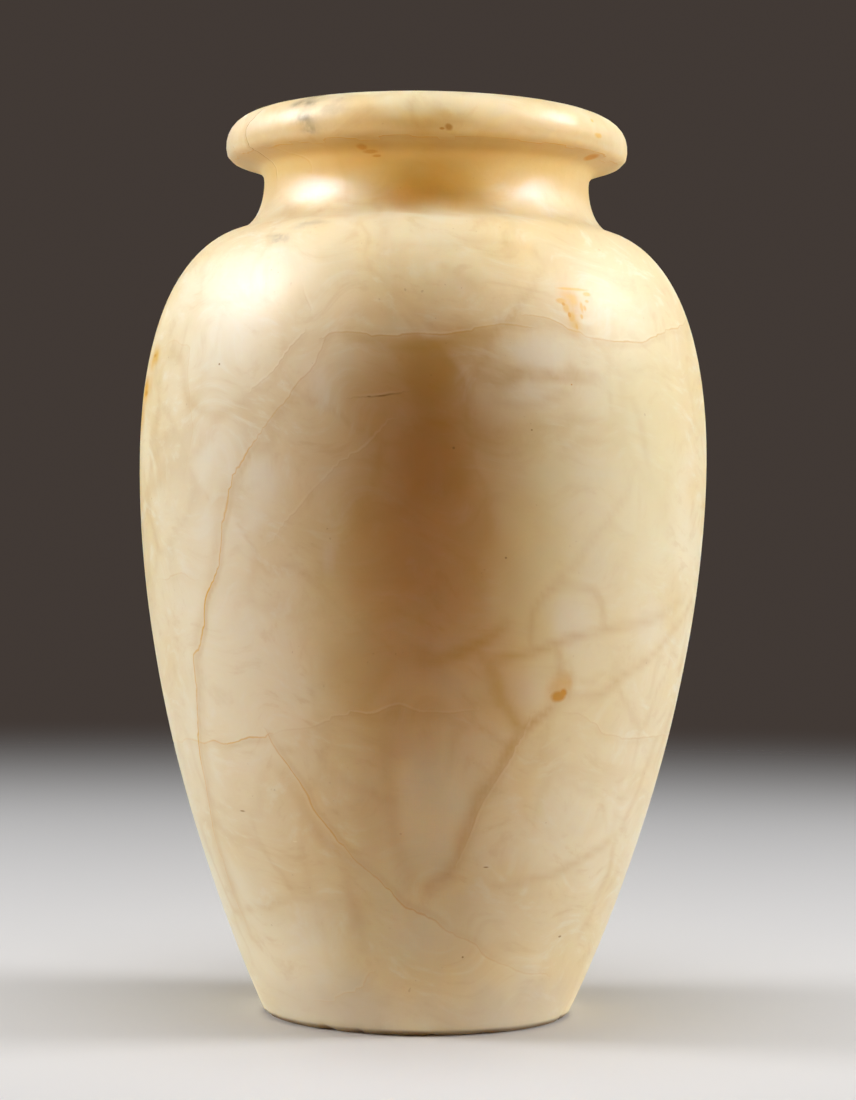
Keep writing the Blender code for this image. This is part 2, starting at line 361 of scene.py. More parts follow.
patches = {
    # which tint, degrees, height, half width and half height in mm, strength
    "leftOchre": ("rust", -72, 180, 5.0, 3.0, 0.90), "leftRustLow": ("rust", -80, 164, 5.0, 3.0, 0.70),
    "leftRust": ("rust", -77, 171, 7.0, 4.4, 1.0),
    "triangle": ("rust", 31.2, 193.2, 4.2, 2.8, 0.78), "triangleTip": ("rust", 30.9, 188, 2.2, 3.4, 0.75),
    "spotHalo": ("rust", 29.8, 94.0, 2.8, 3.0, 0.46), "spotShade": ("bands", 30.2, 94.4, 3.2, 3.6, 0.60),
    "patchBrown": ("bands", -29.5, 77, 3.0, 1.6, 0.4),
    "redBeside": ("bands", -10, 66, 5.0, 15.0, 0.32), "redBesideHigh": ("bands", -5, 76, 4.0, 7.0, 0.35),
    "brownUpLeft": ("bands", -11, 160, 6.5, 7.0, 0.30),
    # painted shade: the middle of the front, which the side lamps leave dark, tinted amber brown; the stone
    # there is also a little browner itself
    "amberTop": ("amberShade", 0.8, 174, 9.4, 14.0, 0.82), "amberMiddle": ("amberShade", 1.5, 152, 9.2, 15.0, 0.72),
    "amberEdge": ("amberShade", 7, 158, 5.0, 7.0, 0.30), "amberRight": ("amberShade", 8.5, 124, 7.5, 21.0, 0.42),
    "amberLeft": ("amberShade", -8, 135, 8.0, 29.0, 0.36),
    "amberStreak": ("amberShade", -9, 169, 6.8, 13.0, 0.42), "amberCore": ("amberShade", 0, 119, 7.5, 15.0, 0.34),
    "amberLow": ("amberShade", 3, 93, 23.0, 18.0, 0.36), "amberWide": ("amberShade", 2, 131, 28.0, 38.0, 0.50),
    "amberLowRight": ("amberShade", 18, 92, 9.0, 20.0, 0.24), "amberLowLeft": ("amberShade", -12, 95, 11.0, 14.0, 0.32),
    "strawHigh": ("straw", 45, 150, 21.0, 42.0, 0.50), "strawLow": ("straw", 36, 84, 20.0, 36.0, 0.28),
    "strawFoot": ("straw", -14, 22, 14.0, 10.0, 0.10),
    "strawNear": ("straw", 22, 125, 13.0, 40.0, 0.75), "strawLeft": ("straw", -14, 112, 12.0, 34.0, 0.50),
    # painted shade: grey-brown on the foot's sides, at the rim's left end and on the left edge, where the
    # lamps leave them darker
    "footShadeLeft": ("greyShade", -42, 3, 28.0, 12.0, 0.70), "footShadeRight": ("greyShade", 38, 3, 28.0, 12.0, 0.72),
    "leftEdgeShade": ("bands", -84, 186, 10.0, 22.0, 0.42), "rimShadeLeft": ("greyShade", -84, 242, 12.0, 8.0, 0.45),
    "footShadeNear": ("greyShade", -19, 8, 11.0, 9.0, 0.55), "footShadeFront": ("greyShade", 10, 4, 14.0, 8.0, 0.25),
    # painted reflection: both edges paler, as the pale surroundings reflect there
    "leftEdgeReflection": ("milkAndLight", -80, 45, 12.0, 40.0, 0.50), "rightEdgeReflection": ("milkAndLight", 80, 45, 12.0, 40.0, 0.35),
    # painted light: broad paler patches on the lit left and right sides
    "leftSideLight": ("milkAndLight", -46, 140, 22.0, 42.0, 0.45), "rightSideLight": ("milkAndLight", 45, 130, 20.0, 44.0, 0.22),
    "lowLeft": ("milkAndLight", -60, 68, 14.0, 26.0, 0.40), "lowRight": ("milkAndLight", 58, 74, 14.0, 26.0, 0.25),
    "milkA": ("milkAndLight", -46, 150, 3.6, 5.5, 0.8), "milkB": ("milkAndLight", -46, 134, 3.4, 5.0, 0.6),
    "milkC": ("milkAndLight", -31, 145, 3.6, 5.0, 0.7), "milkD": ("milkAndLight", -33, 136, 3.0, 4.0, 0.7),
    "milkE": ("milkAndLight", -17, 127, 2.0, 5.0, 0.7), "milkF": ("milkAndLight", 21, 179, 9.0, 4.5, 0.8),
    "milkG": ("milkAndLight", 20, 169, 6.0, 2.4, 0.6), "milkH": ("milkAndLight", -20, 172, 3.0, 5.0, 0.5),
    "milkI": ("milkAndLight", 5, 94, 7.0, 3.6, 0.75), "milkJ": ("milkAndLight", 22, 93, 5.5, 5.0, 0.75),
    "milkK": ("milkAndLight", 30, 111, 6.5, 6.0, 0.6), "milkL": ("milkAndLight", 3, 61, 10.0, 18.0, 0.90),
    "milkM": ("milkAndLight", 53, 110, 8.0, 6.0, 0.45), "milkN": ("milkAndLight", -36, 104, 7.0, 16.0, 0.25),
    "milkO": ("milkAndLight", -44, 60, 10.0, 13.0, 0.3), "milkP": ("milkAndLight", -3, 208, 10.0, 4.0, 0.35),
    "milkQ": ("milkAndLight", 34, 62, 9.0, 13.0, 0.3), "milkR": ("milkAndLight", -28, 28, 9.0, 10.0, 0.3),
    # the last patch on the next line is painted light on the low front
    "milkS": ("milkAndLight", 24, 31, 12.0, 6.0, 0.3), "frontLowLight": ("milkAndLight", 0, 28, 13.0, 8.0, 0.55),
    "rimGreyA": ("grey", -37, 247.2, 4.4, 1.8, 1.0), "rimGreyB": ("grey", -35, 241.8, 4.4, 1.5, 1.0),
    "rimGreyC": ("grey", -28, 244.6, 5.5, 3.0, 0.32), "rimGreyD": ("grey", -32.5, 238.8, 4.2, 1.6, 0.75),
    "neckGreyA": ("grey", -37, 210.2, 3.2, 1.3, 0.9), "neckGreyB": ("grey", -30, 213, 3.8, 1.3, 0.35),
    # painted shade: the neck under the lip and at its front, and the rim's sides and lower half, darker where
    # the lip and the lamps leave them in shade
    "neckBrown": ("amberShade", -20, 233, 9.0, 4.0, 0.62), "neckLeft": ("amberShade", -46, 232.5, 13.0, 3.5, 0.30),
    "neckRightShade": ("bands", 47, 232.5, 15.0, 4.0, 0.75), "neckFront": ("amberShade", 2, 224.5, 15.0, 5.6, 0.90),
    "rimLeftShade": ("bands", -48, 242, 26.0, 7.0, 0.62),
    "neckInnerLeft": ("amberShade", -25, 232, 8.0, 3.6, 0.40),
    "rimRightShade": ("bands", 45, 241, 26.0, 7.0, 0.60), "neckRootShade": ("bands", 2, 220, 16.0, 3.4, 0.60),
    # the thin milky patch at the neck's root, last on the next line, is a painted highlight where the
    # overhead lamp lights it
    "neckInner": ("amberShade", 22, 233, 8.0, 3.2, 0.35), "rootHighlight": ("milkAndLight", 0, 215.2, 14.0, 1.4, 0.90),
    "rimBrown": ("bands", -20, 243, 8.0, 3.6, 0.6), "lipShade": ("bands", -4, 239.4, 24.0, 2.3, 0.55),
}

# The same kind of network goes on round the sides and the back, a little plainer
growth = {
    "seed": 27, "veins": 16, "bands": 28, "cells": 40, "stains": 7,
    "from": 80, "to": 278, "step": (8, 9),            # degrees, and each step's degrees and mm
    "cloud": 38, "cell": 27, "patch": 11, "gap": 60,  # mm across
    "cellSeed": 11,
    # smooth wandering of what is painted: mm across, mm moved and seed
    "veinDrift": (14, 0.5, 3), "seamDrift": (22, 0.6, 5), "patchDrift": (12, 1.0, 8),
    "wispDrift": (40, 5.0, 4),
}


def readRadius(points, outside):
    # Outer radius at a height, from the cut that faces the front
    theta = np.degrees(np.arctan2(points[:, 0], -points[:, 1]))
    radii = np.hypot(points[:, 0], points[:, 1])
    column = outside & (np.abs(theta) < 0.6) & (points[:, 2] > 0.2)
    order = np.argsort(points[column, 2])
    heights, radii = points[column, 2][order], radii[column][order]
    return lambda height: np.interp(height, heights, radii)


def layRoute(route, radiusAt, steps=4):
    # A smooth curve through the route's stops, laid on the stone
    stops = np.array(route, float)
    padded = np.vstack([2 * stops[0] - stops[1], stops, 2 * stops[-1] - stops[-2]])
    share = np.linspace(0, 1, steps, endpoint=False)[:, None]
    runs = []
    for before, start, end, after in zip(padded, padded[1:], padded[2:], padded[3:]):
        bend = 2 * before - 5 * start + 4 * end - after
        twist = 3 * (start - end) + after - before
        runs.append(start + 0.5 * share * (end - before + share * (bend + share * twist)))
    turn, height = np.vstack(runs + [stops[-1:]]).T
    radius = radiusAt(height)
    return np.stack([radius * np.sin(np.radians(turn)), -radius * np.cos(np.radians(turn)), height], 1)


def measureFrom(points, line, reach, batch=10):
    # For the points near a line: which they are, their signed distance and their share of the way along
    for start in range(0, len(line) - 1, batch):
        piece = line[start:start + batch + 1]
        near = np.flatnonzero(((points > piece.min(0) - reach) & (points < piece.max(0) + reach)).all(1))
        if not len(near):
            continue
        run = np.diff(piece, axis=0)
        offset = points[near][:, None] - piece[:-1]
        share = np.clip((offset * run).sum(2) / (run ** 2).sum(1), 0, 1)
        offset -= share[..., None] * run
        gap = np.sqrt((offset ** 2).sum(2))
        best = gap.argmin(1)
        rows = np.arange(len(near))
        side = (np.cross(run[best], offset[rows, best]) * points[near] * (1, 1, 0)).sum(1)
        passed = (start + best + share[rows, best]) / (len(line) - 1)
        yield near, np.where(side < 0, -1, 1) * gap[rows, best], passed


def drift(points, size, amount, seed):
    # A smooth wandering of the points, so that nothing painted is too even
    dice = np.random.default_rng(seed)
    moved = points.copy()
    for octave in (1.0, 0.5):
        for _ in range(5):
            wave = dice.normal(size=3)
            way = wave / np.linalg.norm(wave)
            phase = points @ way * math.tau / (size * octave) + dice.uniform(0, math.tau)
            moved += amount * octave * 0.45 * np.sin(phase)[:, None] * dice.normal(size=3)
    return moved


def mottle(points, size, octaves):
    # Cloudy noise, about -1 to 1, with its largest clouds the given number of mm across
    return np.array([noise.fractal(point, 1.0, 2.0, octaves) for point in points / size])


def crackle(points, size, seed):
    # Near 1 on the borders of irregular cells, falling to 0 inside them
    dice = np.random.default_rng(seed)
    low, high = points.min(0) - size, points.max(0) + size
    seeds = dice.uniform(low, high, (int(np.prod((high - low) / size)), 3))
    tree = kdtree.KDTree(len(seeds))
    for number, place in enumerate(seeds):
        tree.insert(place, number)
    tree.balance()
    gaps = np.array([second[2] - first[2] for first, second in (tree.find_n(point, 2) for point in points)])
    return np.exp(-(gaps / 1.7) ** 2)


def along(values, share):
    return np.interp(share, np.linspace(0, 1, len(values)), values)


def growNetwork():
    dice = np.random.default_rng(growth["seed"])

    def walk(lengths, swing):
        turn, height = dice.uniform(growth["from"], growth["to"]), dice.uniform(12, 205)
        heading = dice.uniform(-1.2, 1.2) + (math.pi / 2 if dice.random() < 0.6 else 0)
        route = []
        for _ in range(dice.integers(*lengths)):
            route.append((turn, height))
            heading += dice.normal(0, swing)
            turn += growth["step"][0] * math.cos(heading)
            height += growth["step"][1] * math.sin(heading)
            if not (growth["from"] < turn < growth["to"] and 6 < height < 208):
                break
        return route

    def spread(kind, wide, high, strong):
        return (kind, dice.uniform(growth["from"], growth["to"]), dice.uniform(10, 205),
                dice.uniform(*wide), dice.uniform(*high), dice.uniform(*strong))

    lines = [((dice.uniform(0, 1),) * 2, (0.1, dice.uniform(0.4, 0.9), 0.6, 0.1), walk((6, 15), 0.28))
             for _ in range(growth["veins"])]
    seams = [(dice.uniform(1.2, 2.4), (0.1, dice.uniform(0.4, 0.9), 0.5, 0.1), walk((4, 10), 0.45))
             for _ in range(growth["bands"])]
    clouds = [spread("milkAndLight", (3, 10), (3, 13), (0.3, 0.8)) for _ in range(growth["cells"])]
    clouds += [spread("rust", (1, 4), (1, 3), (0.2, 0.6)) for _ in range(growth["stains"])]
    return [line for line in lines if len(line[2]) > 2], [seam for seam in seams if len(seam[2]) > 2], clouds


def sortIntoLayers(lines):
    # Veins that meet or cross lie in different layers, so that each keeps its own distance
    layers = {"A": [], "B": [], "C": []}
    for line in lines:
        def clearance(layer):
            return min((np.linalg.norm(line[2][:, None] - other[2], axis=2).min() for other in layers[layer]),
                       default=99)
        free = max(layers, key=clearance)
        layers[free].append(line)
    return layers


def keep(mesh, name, values):
    # Values at the points, as an attribute that the stone's material reads
    kind, field = ("FLOAT", "value") if values.ndim == 1 else ("FLOAT_VECTOR", "vector")
    mesh.attributes.new(name, kind, "POINT").data.foreach_set(field, values.ravel())


def paintVeins(mesh, points, outside, radiusAt, grown):
    # Each layer keeps, at every point, the signed distance to its nearest vein, with its strength and tone
    full, gone = 1.6, 3.2                                  # mm from a vein, where its strength falls away
    reach, far = 6.0, 9.0                                  # mm: how far is measured, what stands for no vein
    count = len(points)
    wandering = drift(points, *growth["veinDrift"])
    routes = [*veins.values(), *grown]
    lines = [(tones, strengths, layRoute(route, radiusAt)) for tones, strengths, route in routes]
    for layer, owned in sortIntoLayers(lines).items():
        distance, strength, tone = np.full(count, far), np.zeros(count), np.zeros(count)
        for tones, strengths, line in owned:
            for near, gap, share in measureFrom(wandering, line, reach):
                closer = outside[near] & (np.abs(gap) < np.abs(distance[near]))
                near, gap, share = near[closer], gap[closer], share[closer]
                distance[near], tone[near] = gap, along(tones, share)
                strength[near] = along(strengths, share) * np.clip((gone - np.abs(gap)) / (gone - full), 0, 1)
        for name, values in (("distance", distance), ("strength", strength), ("tone", tone)):
            keep(mesh, name + layer, values)
    print("veins painted:", len(lines))


def paintTints(mesh, points, outside, radiusAt, grownSeams, grownPatches):
    tints = ("bands", "milkAndLight", "rust", "grey", "amberShade", "straw", "greyShade")
    painted = {tint: np.zeros(len(points)) for tint in tints}
    wandering = drift(points, *growth["seamDrift"])
    seams = [*bands.values(), *grownSeams]
    for halfWidth, strengths, route in seams:
        for near, gap, share in measureFrom(wandering, layRoute(route, radiusAt), 3 * halfWidth):
            value = along(strengths, share) * np.exp(-(gap / halfWidth) ** 2)
            painted["bands"][near] = np.maximum(painted["bands"][near], value)
    wandering = drift(points, *growth["patchDrift"])
    turned = np.degrees(np.arctan2(wandering[:, 0], -wandering[:, 1]))
    for tint, degrees, height, halfWide, halfHigh, value in [*patches.values(), *grownPatches]:
        across = np.radians((turned - degrees + 180) % 360 - 180) * radiusAt(height) / halfWide
        up = (wandering[:, 2] - height) / halfHigh
        spread = value * np.exp(-(across ** 2 + up ** 2) ** 1.5)
        painted[tint] = painted[tint] + spread - painted[tint] * spread

    # On the body the amber painted shade ends sharply at the line under the shoulder, where the stone also
    # turns paler
    neckFrom, fade = 205, 1.4                              # mm
    edge = np.interp(turned, *zip(*veins["shoulderLine"][2]))
    below = np.clip(0.6 + (edge - wandering[:, 2]) / fade, 0.2, 1)
    painted["amberShade"] *= np.where(wandering[:, 2] > neckFrom, 1, below)
    for tint, values in painted.items():
        keep(mesh, tint, values * outside)

    # Clouds in the ground, how patchy each place is, and a broken network of cell borders
    keep(mesh, "clouds", mottle(wandering, growth["cloud"], 4))
    keep(mesh, "patchy", mottle(points, growth["patch"], 2))
    broken = np.clip(0.4 + mottle(points, growth["gap"], 1), 0, 1)
    keep(mesh, "network", crackle(wandering, growth["cell"], growth["cellSeed"]) * broken)
    print("seams painted:", len(seams))


def paintVase(vase):
    mesh = vase.data
    points = np.empty(len(mesh.vertices) * 3)
    mesh.vertices.foreach_get("co", points)
    points = points.reshape(-1, 3) / mm
    inside = np.empty(len(points))
    mesh.attributes["inside"].data.foreach_get("value", inside)
    outside = inside < 0.5
    radiusAt = readRadius(points, outside)
    moreVeins, moreSeams, morePatches = growNetwork()
    paintVeins(mesh, points, outside, radiusAt, moreVeins)
    paintTints(mesh, points, outside, radiusAt, moreSeams, morePatches)
    theta = np.degrees(np.arctan2(points[:, 0], -points[:, 1]))
    keep(mesh, "unrolled", np.stack([theta, points[:, 2], inside], 1))
    keep(mesh, "drifted", drift(points, *growth["wispDrift"]) * mm)
    print("vase painted")
    return radiusAt


# The stone

alabaster = {
    "deep": (0.880, 0.725, 0.425, 1), "pale": (0.945, 0.840, 0.590, 1),          # the clouded ground
    # The milky tint also colours painted light and painted reflection; the grey-brown, ochre and amber tints
    # colour painted shade, and the darkest foot tint painted contact shadow and grime
    "milkAndLight": (0.955, 0.885, 0.690, 1), "seam": (0.720, 0.500, 0.200, 1),
    "rust": (0.810, 0.480, 0.070, 1), "soot": (0.340, 0.255, 0.140, 1),
    "burnt": (0.720, 0.340, 0.010, 1), "straw": (0.905, 0.815, 0.430, 1), "greyShade": (0.600, 0.520, 0.400, 1),
    "ochreShade": (0.690, 0.490, 0.185, 1), "amberShade": (0.660, 0.365, 0.020, 1), "thread": (0.990, 0.880, 0.640, 1),
    "olive": (0.660, 0.440, 0.170, 1), "grime": (0.440, 0.250, 0.060, 1),
    "footShadowAndGrime": (0.200, 0.120, 0.050, 1), "brown": (0.600, 0.330, 0.070, 1),
    "wispScale": 95, "fineScale": 200, "grainScale": 420, "speckScale": 800,     # repeats in a metre
    "wispTurn": (0.5, 0.35, 0.6), "wispPull": (1.0, 1.0, 2.4),
    "seamShare": 0.9, "wispShare": 0.60, "networkShare": 0.55, "amberShadeShare": 0.94, "ochreShadeShare": 0.75,
    "shadeShare": 0.38, "pinholeShare": 0.3, "boreShare": 0.35,
    "ochreShadeHeights": (0.2190, 0.2290, 0.2345, 0.2385),                            # from none to full and back
    "shadowAndGrimeHeights": (0.0006, 0.0018),                                            # from full to none
    "lineWidth": 0.38,                                                           # mm
    "roughness": (0.43, 0.56), "veinDull": 0.15, "cutDull": 0.22,
    "reliefDepth": 0.16 * mm, "relief": 0.35, "ringScale": 95.0, "ringHeight": 1.6,
    "softness": (1.0, 0.55, 0.17), "depth": 9 * mm,                              # how far light travels in it
}

spots = {
    # small marks, named by their colour: strength, then degrees, height, half width and half height in mm
    "thread": (0.8, [(-31, 52, 0.7, 0.25)]),
    "rust": (0.75, [
        (33.9, 191.2, 0.6, 0.9), (32.8, 188.9, 0.5, 0.7), (31.6, 196.1, 4.6, 0.45), (35.2, 195.0, 1.3, 0.6),
        (33.2, 191.4, 0.6, 1.7), (28.4, 192.7, 1.4, 0.8), (29.3, 190.8, 1.1, 1.3), (30.3, 188.6, 1.0, 1.3),
        (31.3, 186.2, 0.45, 1.0), (34.8, 193.1, 0.8, 0.5), (53.5, 244.4, 0.8, 0.6), (55.5, 240.6, 1.9, 0.8)]),
    "burnt": (0.9, [
        (29.6, 91.1, 2.2, 1.5), (30.7, 92.0, 1.2, 1.1), (-76, 170.5, 2.6, 0.8), (-79, 173, 1.6, 1.0),
        (-72, 180.5, 1.6, 0.6), (28.9, 191.9, 0.6, 0.5), (29.9, 189.2, 0.5, 0.8), (29, 171, 0.3, 0.3),
        (62, 235.9, 2.6, 0.7)]),
    "brown": (0.95, [
        (6.0, 238.6, 1.1, 0.9), (-20.8, 234.8, 1.6, 0.7), (-18.6, 233.7, 2.0, 0.5), (-16.6, 232.6, 1.2, 0.35),
        (4.2, 238.2, 0.7, 0.3)]),
    "grime": (0.85, [
        (-46, 59, 1.1, 0.25), (17, 46.4, 0.8, 0.2), (45.5, 26, 0.6, 0.3), (13.5, 22, 0.3, 0.3),
        (-43.3, 176, 0.35, 0.3), (5.7, 154, 0.35, 0.35), (16, 126.5, 0.35, 0.3), (20.5, 159, 0.3, 0.25),
        (-7.6, 167.0, 1.0, 0.2), (-10, 166.8, 0.6, 0.16)]),
}


class Wiring:
    # Short ways to place and join the nodes of one shader tree
    def __init__(self, tree):
        self.nodes, self.links = tree.nodes, tree.links

    def add(self, kind, ins=None, **settings):
        node = self.nodes.new(kind)
        for key, value in settings.items():
            setattr(node, key, value)
        for key, value in (ins or {}).items():
            self.feed(node.inputs[key], value)
        return node

    def feed(self, socket, value):
        if isinstance(value, bpy.types.NodeSocket):
            self.links.new(value, socket)
        else:
            socket.default_value = value

    def math(self, operation, *values, clamp=False):
        ins = dict(enumerate(values))
        return self.add("ShaderNodeMath", ins, operation=operation, use_clamp=clamp).outputs[0]

    def span(self, value, low, high, start=0.0, end=1.0):
        ins = {"Value": value, "From Min": low, "From Max": high, "To Min": start, "To Max": end}
        return self.add("ShaderNodeMapRange", ins, interpolation_type="SMOOTHSTEP").outputs["Result"]

    def noise(self, place, scale, detail, roughness=0.5):
        ins = {"Vector": place, "Scale": scale, "Detail": detail, "Roughness": roughness}
        return self.add("ShaderNodeTexNoise", ins).outputs[0]

    def mix(self, base, color, share):
        node = self.add("ShaderNodeMix", data_type="RGBA", blend_type="MIX", clamp_factor=True)
        self.feed(node.inputs[0], share)
        self.feed(node.inputs[6], base)
        self.feed(node.inputs[7], color)
        return node.outputs[2]

    def painted(self, name, output="Fac"):
        ins = {"attribute_name": name, "attribute_type": "GEOMETRY"}
        return self.add("ShaderNodeAttribute", **ins).outputs[output]


def makeGroup(name, ins, outs):
    # A shader group whose inputs and outputs are all plain values
    group = bpy.data.node_groups.new(name, "ShaderNodeTree")
    for way, sockets in (("INPUT", ins), ("OUTPUT", outs)):
        for socket in sockets:
            group.interface.new_socket(socket, in_out=way, socket_type="NodeSocketFloat")
    wiring = Wiring(group)
    return group, wiring, wiring.add("NodeGroupInput").outputs, wiring.add("NodeGroupOutput").inputs


def makeVeinLine():
    # A hairline vein: a dark core, a pale thread on its left and a soft shade on its right
    asking, giving = ("Distance", "Strength", "Width", "Waver"), ("Core", "Thread", "Shade")
    group, w, asked, given = makeGroup("veinLine", asking, giving)
    distance = w.math("ADD", asked["Distance"], asked["Waver"])
    strength, width = asked["Strength"], asked["Width"]

    def ridge(centre, reach, sharp):
        # centre and reach in line widths, sharp the share of the reach at full strength
        away = w.math("ABSOLUTE", w.math("SUBTRACT", distance, w.math("MULTIPLY", width, centre)))
        edge = w.math("MULTIPLY", width, reach)
        near = w.span(away, w.math("MULTIPLY", edge, sharp), edge, 1.0, 0.0)
        return w.math("MULTIPLY", near, strength)
    w.feed(given["Core"], ridge(0.0, 1.0, 0.15))
    w.feed(given["Thread"], ridge(1.3, 1.5, 0.1))
    w.feed(given["Shade"], ridge(-2.6, 4.6, 0.0))
    return group


def layGround(w, place):
    # Clouds of cream, wisps like drawn-out fibres and a faint network of cells
    a = alabaster
    ins = {"Vector": w.painted("drifted", "Vector"), "Rotation": a["wispTurn"], "Scale": a["wispPull"]}
    pulled = w.add("ShaderNodeMapping", ins)
    wisps = w.noise(pulled.outputs[0], a["wispScale"], 4.0, 0.62)
    fine = w.noise(place, a["fineScale"], 3.0, 0.6)
    specks = w.noise(place, a["speckScale"], 1.0)
    patchy = w.painted("patchy")
    color = w.mix(a["deep"], a["pale"], w.span(w.painted("clouds"), -0.55, 0.55))
    color = w.mix(color, a["seam"], w.math("MULTIPLY", w.painted("network"), a["networkShare"]))
    color = w.mix(color, a["milkAndLight"], w.span(wisps, 0.50, 0.72, 0.0, a["wispShare"]))
    color = w.mix(color, a["seam"], w.span(wisps, 0.48, 0.28, 0.0, a["wispShare"] * 0.5))
    return color, wisps, fine, specks, patchy


def stainGround(w, color, height, fine, patchy):
    # Painted cells, seams and stains, with painted shade and painted light
    a = alabaster
    ragged = w.span(fine, 0.3, 0.7, 0.85, 1.1)
    color = w.mix(color, a["straw"], w.painted("straw"))
    # Milky cells, and painted light and painted reflection
    color = w.mix(color, a["milkAndLight"], w.painted("milkAndLight"))
    # Soft seams, and painted shade on the neck, the rim and the left edge
    seams = w.math("MULTIPLY", w.painted("bands"), w.math("MULTIPLY", ragged, a["seamShare"]), clamp=True)
    color = w.mix(color, a["seam"], seams)
    color = w.mix(color, a["rust"], w.math("MULTIPLY", w.painted("rust"), ragged))
    # Painted shade: amber brown on the dark front and on the neck
    color = w.mix(color, a["amberShade"], w.math("MULTIPLY", w.painted("amberShade"), a["amberShadeShare"]))
    sooty = w.span(fine, 0.34, 0.60, 0.25, 1.0)
    color = w.mix(color, a["soot"], w.math("MULTIPLY", w.painted("grey"), sooty))

    # Painted shade: ochre on the neck under the lip, and grey-brown on the foot's sides and the rim's left
    # end; painted contact shadow and grime along the foot's edge
    none, full, last, gone = a["ochreShadeHeights"]
    underLipShade = w.math("MULTIPLY", w.span(height, none, full), w.span(height, last, gone, 1.0, 0.0))
    color = w.mix(color, a["ochreShade"], w.math("MULTIPLY", underLipShade, a["ochreShadeShare"]))
    color = w.mix(color, a["greyShade"], w.painted("greyShade"))
    # Painted contact shadow and grime: a dark line along the foot's edge
    atFoot = w.span(height, *a["shadowAndGrimeHeights"], 1.0, 0.0)
    color = w.mix(color, a["footShadowAndGrime"], w.math("MULTIPLY", atFoot, w.span(patchy, -0.4, 0.5, 0.75, 1.0)))
    return color, atFoot


def drawVeins(w, color, fine, patchy):
    a = alabaster
    veinLine = makeVeinLine()
    waver = w.math("SUBTRACT", fine, 0.5)
    kept = w.span(patchy, -0.35, 0.25, 0.65, 1.0)                    # veins come and go along their way
    cores = None
    for layer in "ABC":
        ins = {"Distance": w.painted("distance" + layer), "Width": a["lineWidth"], "Waver": waver,
               "Strength": w.math("MULTIPLY", w.painted("strength" + layer), kept)}
        line = w.add("ShaderNodeGroup", ins, node_tree=veinLine).outputs
        tone = w.painted("tone" + layer)
        color = w.mix(color, a["seam"], w.math("MULTIPLY", line["Shade"], a["shadeShare"]))
        fade = w.span(tone, 0.0, 0.8, 0.75, 0.22)
        color = w.mix(color, a["thread"], w.math("MULTIPLY", line["Thread"], fade))
        coreColor = w.mix(a["olive"], a["rust"], w.span(tone, 0.2, 1.0))
        coreColor = w.mix(coreColor, a["grime"], w.span(tone, 1.1, 2.0))
        deep = w.span(tone, 0.0, 1.0, 0.50, 0.85)
        color = w.mix(color, coreColor, w.math("MULTIPLY", line["Core"], deep))
        cores = line["Core"] if cores is None else w.math("MAXIMUM", cores, line["Core"])
    return color, cores


def placeSpots(w, color, fine, radiusAt):
    # Small single marks: for each colour, how many half widths off the nearest one is
    unrolled = w.painted("unrolled", "Vector")                       # degrees, mm up, 1 in the hollow
    uneven = w.math("MULTIPLY", w.math("SUBTRACT", fine, 0.5), 1.2)
    far = 9.0
    for tint, (strength, marks) in spots.items():
        nearest = far
        for degrees, up, halfWide, halfHigh in marks:
            wide = math.degrees(halfWide / float(radiusAt(up)))
            scale = (1 / wide, 1 / halfHigh, far)
            offset = w.add("ShaderNodeVectorMath", {0: unrolled, 1: (degrees, up, 0)}, operation="SUBTRACT")
            offset = w.add("ShaderNodeVectorMath", {0: offset.outputs[0], 1: scale}, operation="MULTIPLY")
            away = w.add("ShaderNodeVectorMath", {0: offset.outputs[0]}, operation="LENGTH").outputs["Value"]
            nearest = w.math("MINIMUM", nearest, away)
        mark = w.span(w.math("ADD", nearest, uneven), 0.45, 1.25, strength, 0.0)
        color = w.mix(color, alabaster[tint], mark)
    return color


def finishStone(stone, radiusAt):
    w = Wiring(stone.node_tree)
    shader = w.nodes["Principled BSDF"]
    a = alabaster
    place = w.add("ShaderNodeTexCoord").outputs["Object"]
    height = w.add("ShaderNodeSeparateXYZ", {0: place}).outputs["Z"]
    color, wisps, fine, specks, patchy = layGround(w, place)
    color, atFoot = stainGround(w, color, height, fine, patchy)
    color, cores = drawVeins(w, color, fine, patchy)
    color = placeSpots(w, color, fine, radiusAt)
    pinholes = w.math("MULTIPLY", w.span(specks, 0.74, 0.79), w.span(patchy, 0.1, 0.5))
    color = w.mix(color, a["grime"], w.math("MULTIPLY", pinholes, a["pinholeShare"]))
    inside = w.painted("inside")
    color = w.mix(color, a["seam"], w.math("MULTIPLY", inside, a["boreShare"]))
    w.feed(shader.inputs["Base Color"], color)

    # Polish: waxy, duller in the veins, on the foot and in the hollow
    low, high = a["roughness"]
    roughness = w.math("ADD", w.span(wisps, 0.3, 0.7, low, high), w.math("MULTIPLY", cores, a["veinDull"]))
    dull = w.math("MULTIPLY", w.math("MAXIMUM", inside, atFoot), a["cutDull"])
    w.feed(shader.inputs["Roughness"], w.math("ADD", roughness, dull, clamp=True))

    # Relief: fine grain all over and faint tool rings in the hollow
    ins = {"Vector": place, "Scale": a["ringScale"]}
    rings = w.add("ShaderNodeTexWave", ins, bands_direction="Z").outputs["Fac"]
    grain = w.noise(place, a["grainScale"], 3.0)
    rings = w.math("MULTIPLY", w.math("MULTIPLY", rings, inside), a["ringHeight"])
    ins = {"Strength": a["relief"], "Distance": a["reliefDepth"], "Height": w.math("ADD", grain, rings)}
    w.feed(shader.inputs["Normal"], w.add("ShaderNodeBump", ins).outputs["Normal"])

    shader.subsurface_method = "BURLEY"
    shader.inputs["IOR"].default_value = 1.5
    shader.inputs["Subsurface Weight"].default_value = 1.0
    shader.inputs["Subsurface Radius"].default_value = a["softness"]
    shader.inputs["Subsurface Scale"].default_value = a["depth"]
    print("stone ready")


# Table, surroundings and lights

